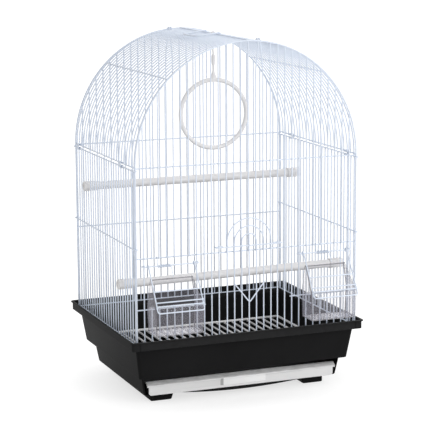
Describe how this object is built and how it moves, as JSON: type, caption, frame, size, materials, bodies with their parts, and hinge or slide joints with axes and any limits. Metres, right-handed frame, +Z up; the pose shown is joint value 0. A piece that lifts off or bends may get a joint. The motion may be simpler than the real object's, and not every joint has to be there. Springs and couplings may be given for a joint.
{
  "type": "bird cage",
  "caption": "Small bird cage with an arched wire roof on a black basin, with a pull-out drawer, lift-up door, outside feeders under sprung flaps, perches and a swing.",
  "frame": {"origin": "middle of the footprint at floor level, under the feet", "axes": "+Z up, -Y out of the front with the door and feeders, +X to the right seen from the front"},
  "size_m": [0.3514, 0.3174, 0.5062],
  "materials": {
    "white_wire": "white powder coat",
    "black_plastic": "satin moulded",
    "pale_plastic": "satin moulded",
    "clear_plastic": "clear polished",
    "white_plastic": "satin moulded",
    "bright_steel": "bright drawn"
  },
  "bodies": {
    "base": {"base_tray": "black_plastic"},
    "drawer": {"drawer_front": "pale_plastic", "drawer_pan": "black_plastic"},
    "grille": {"floor_grille": "white_wire"},
    "cage": {"front_panel": "white_wire", "back_panel": "white_wire", "left_panel": "white_wire", "right_panel": "white_wire", "roof_panel": "white_wire", "left_roof_clip_1": "bright_steel", "left_roof_clip_2": "bright_steel", "right_roof_clip_1": "bright_steel", "right_roof_clip_2": "bright_steel", "left_flap_rod": "white_wire", "right_flap_rod": "white_wire", "left_flap_spring": "bright_steel", "right_flap_spring": "bright_steel", "upper_perch_rod": "white_plastic", "upper_perch_cap_left": "white_plastic", "upper_perch_cap_right": "white_plastic", "lower_perch_rod": "white_plastic", "lower_perch_cap_left": "white_plastic", "lower_perch_cap_right": "white_plastic"},
    "door": {"front_door": "white_wire"},
    "swing": {"swing": "white_plastic"},
    "handle": {"top_handle": "white_wire"},
    "left_flap": {"left_flap": "white_wire"},
    "right_flap": {"right_flap": "white_wire"},
    "left_feeder": {"left_feeder": "clear_plastic"},
    "right_feeder": {"right_feeder": "clear_plastic"}
  },
  "joints": [
    {"name": "drawer_slide", "type": "slide", "parent": "base", "child": "drawer", "axis": [0, -1, 0], "range_m": [0, 0.17]},
    {"name": "grille_lift", "type": "slide", "parent": "base", "child": "grille", "axis": [0, 0, 1], "range_m": [0, 0.035]},
    {"name": "cage_lift", "type": "slide", "parent": "base", "child": "cage", "axis": [0, 0, 1], "range_m": [0, 0.06]},
    {"name": "door_slide", "type": "slide", "parent": "cage", "child": "door", "axis": [0, 0, 1], "range_m": [0, 0.105]},
    {"name": "swing_hinge", "type": "hinge", "parent": "cage", "child": "swing", "pos_m": [0, 0.01211, 0.50235], "axis": [0, 1, 0], "range_deg": [-30, 30]},
    {"name": "handle_hinge", "type": "hinge", "parent": "cage", "child": "handle", "pos_m": [0, 0.01744, 0.50235], "axis": [0, 1, 0], "range_deg": [0, 170]},
    {"name": "left_feeder_slide", "type": "slide", "parent": "cage", "child": "left_feeder", "axis": [0, -1, 0], "range_m": [0, 0.037]},
    {"name": "right_feeder_slide", "type": "slide", "parent": "cage", "child": "right_feeder", "axis": [0, -1, 0], "range_m": [0, 0.037]},
    {"name": "left_flap_hinge", "type": "hinge", "parent": "cage", "child": "left_flap", "pos_m": [-0.11501, -0.11786, 0.2013], "axis": [-1, 0, 0], "range_deg": [0, 75], "stiffness_Nm_per_rad": 0.01, "springref_deg": -11.46},
    {"name": "right_flap_hinge", "type": "hinge", "parent": "cage", "child": "right_flap", "pos_m": [0.11501, -0.11786, 0.2013], "axis": [-1, 0, 0], "range_deg": [0, 75], "stiffness_Nm_per_rad": 0.01, "springref_deg": -11.46}
  ],
  "couplings": [
    {"joint": "left_flap_hinge", "follows": "left_feeder_slide", "rad_per_m": 35.3},
    {"joint": "right_flap_hinge", "follows": "right_feeder_slide", "rad_per_m": 35.3}
  ]
}
